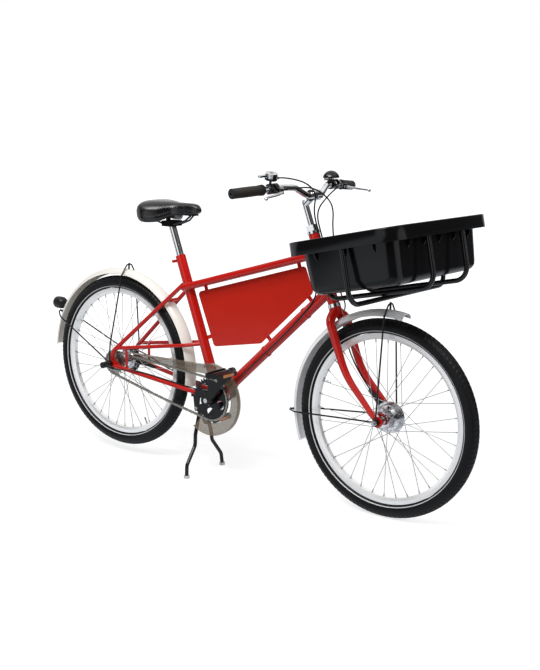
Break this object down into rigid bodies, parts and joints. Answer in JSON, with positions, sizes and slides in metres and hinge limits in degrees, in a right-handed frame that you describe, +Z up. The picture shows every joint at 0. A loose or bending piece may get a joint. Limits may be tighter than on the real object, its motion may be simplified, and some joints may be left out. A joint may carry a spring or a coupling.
{
  "type": "delivery bicycle",
  "caption": "Delivery bicycle on its two-legged stand, with a steel frame, a sign panel and a wide plastic load tray fixed over the front wheel.",
  "frame": {"origin": "on the floor, midway between the two feet of the stand", "axes": "+X forward, towards the tray; +Y to the rider's left, away from the chain; +Z up"},
  "size_m": [1.8707, 0.6964, 1.1217],
  "materials": {
    "red_paint": "gloss red paint",
    "steel": "plated steel",
    "black_plastic": "moulded black plastic",
    "black_paint": "satin black paint",
    "white_paint": "cream moulded plastic",
    "silver_paint": "silver moulded plastic",
    "red_lens": "clear red plastic",
    "smoke_plastic": "smoky clear plastic",
    "cable": "black cable casing",
    "chrome": "polished",
    "saddle_cover": "black padded cover",
    "rubber": "black rubber",
    "pale_rubber": "pale grey rubber",
    "gloss_black": "gloss black steel",
    "alloy": "polished aluminium",
    "tyre": "black rubber",
    "spoke_steel": "plated wire"
  },
  "bodies": {
    "frame": {"main_frame": "red_paint", "rear_triangle": "red_paint", "frame_panel": "red_paint", "frame_bolts": "steel", "bearing_cups": "steel", "tray": "black_plastic", "tray_carrier": "black_paint", "rear_mudguard": "white_paint", "rear_mudguard_stays": "black_paint", "rear_lamp": "black_plastic", "rear_lamp_lens": "red_lens", "chain_guard": "smoke_plastic", "chain": "steel", "rear_axle": "steel", "rear_brake_plate": "black_plastic", "gear_shift_box": "black_paint", "frame_cables": "cable", "stand_bracket": "black_paint", "stand_pivot": "steel"},
    "seat": {"seatpost": "chrome", "saddle_clamp": "black_paint", "saddle_rails": "black_paint", "saddle_base": "black_plastic", "saddle_cushion": "saddle_cover", "saddle_bumpers": "rubber"},
    "steering": {"fork": "red_paint", "headset_nuts": "steel", "stem": "chrome", "handlebar": "chrome", "grips": "rubber", "lever_brackets": "black_paint", "shifter_body": "black_plastic", "bell": "gloss_black", "front_mudguard": "silver_paint", "front_mudguard_stays": "black_paint", "front_axle": "steel", "front_brake_plate": "black_paint", "front_brake_cable": "cable", "bar_cables": "cable"},
    "front_wheel": {"front_tyre": "tyre", "front_rim": "alloy", "front_spokes": "spoke_steel", "front_hub": "alloy"},
    "rear_wheel": {"rear_tyre": "tyre", "rear_rim": "alloy", "rear_spokes": "spoke_steel", "rear_hub": "alloy"},
    "sprocket": {"rear_sprocket": "black_paint"},
    "crank": {"crank_axle": "chrome", "chainring": "black_paint", "crank_arms": "black_paint", "pedal_spindles": "chrome"},
    "right_pedal": {"right_pedal": "black_plastic"},
    "left_pedal": {"left_pedal": "black_plastic"},
    "right_brake_lever": {"right_brake_lever": "alloy"},
    "left_brake_lever": {"left_brake_lever": "alloy"},
    "shifter_lever": {"shifter_lever": "alloy"},
    "bell_lever": {"bell_lever": "alloy"},
    "stand": {"stand_legs": "black_paint", "stand_feet": "pale_rubber"}
  },
  "joints": [
    {"name": "seat_height", "type": "slide", "parent": "frame", "child": "seat", "axis": [-0.3371, 0, 0.9415], "range_m": [-0.06, 0.05]},
    {"name": "steering", "type": "hinge", "parent": "frame", "child": "steering", "pos_m": [0.55886, 0, 0.68622], "axis": [-0.3469, 0, 0.9379], "range_deg": [-50, 50]},
    {"name": "front_wheel", "type": "hinge", "parent": "steering", "child": "front_wheel", "pos_m": [0.769, 0, 0.33], "axis": [0, 1, 0], "continuous": true},
    {"name": "rear_wheel", "type": "hinge", "parent": "frame", "child": "rear_wheel", "pos_m": [-0.407, 0, 0.366], "axis": [0, 1, 0], "continuous": true},
    {"name": "crank", "type": "hinge", "parent": "frame", "child": "crank", "pos_m": [0.069, 0, 0.295], "axis": [0, 1, 0], "continuous": true},
    {"name": "sprocket", "type": "hinge", "parent": "frame", "child": "sprocket", "pos_m": [-0.407, 0, 0.366], "axis": [0, 1, 0], "continuous": true},
    {"name": "right_pedal", "type": "hinge", "parent": "crank", "child": "right_pedal", "pos_m": [0.18602, -0.064, 0.41831], "axis": [0, 1, 0], "continuous": true},
    {"name": "left_pedal", "type": "hinge", "parent": "crank", "child": "left_pedal", "pos_m": [-0.04802, 0.064, 0.17169], "axis": [0, 1, 0], "continuous": true},
    {"name": "right_brake_lever", "type": "hinge", "parent": "steering", "child": "right_brake_lever", "pos_m": [0.47662, -0.18319, 1.05912], "axis": [-0.1704, 0.1135, -0.9788], "range_deg": [0, 18], "stiffness_Nm_per_rad": 1.5, "springref_deg": -17.19},
    {"name": "left_brake_lever", "type": "hinge", "parent": "steering", "child": "left_brake_lever", "pos_m": [0.47662, 0.18319, 1.05912], "axis": [0.1704, 0.1135, 0.9788], "range_deg": [0, 18], "stiffness_Nm_per_rad": 1.5, "springref_deg": -17.19},
    {"name": "shifter_lever", "type": "hinge", "parent": "steering", "child": "shifter_lever", "pos_m": [0.43865, -0.19631, 1.06421], "axis": [0.2525, -0.1338, 0.9583], "range_deg": [-30, 30]},
    {"name": "bell_lever", "type": "hinge", "parent": "steering", "child": "bell_lever", "pos_m": [0.45441, 0.13, 1.0669], "axis": [0.0046, -0.0262, 0.9996], "range_deg": [0, 30], "stiffness_Nm_per_rad": 0.05, "springref_deg": -11.46},
    {"name": "stand", "type": "hinge", "parent": "frame", "child": "stand", "pos_m": [-0.011, 0, 0.246], "axis": [0, 1, 0], "range_deg": [0, 75]}
  ],
  "couplings": [
    {"joint": "sprocket", "follows": "crank", "ratio": 1.7273}
  ]
}
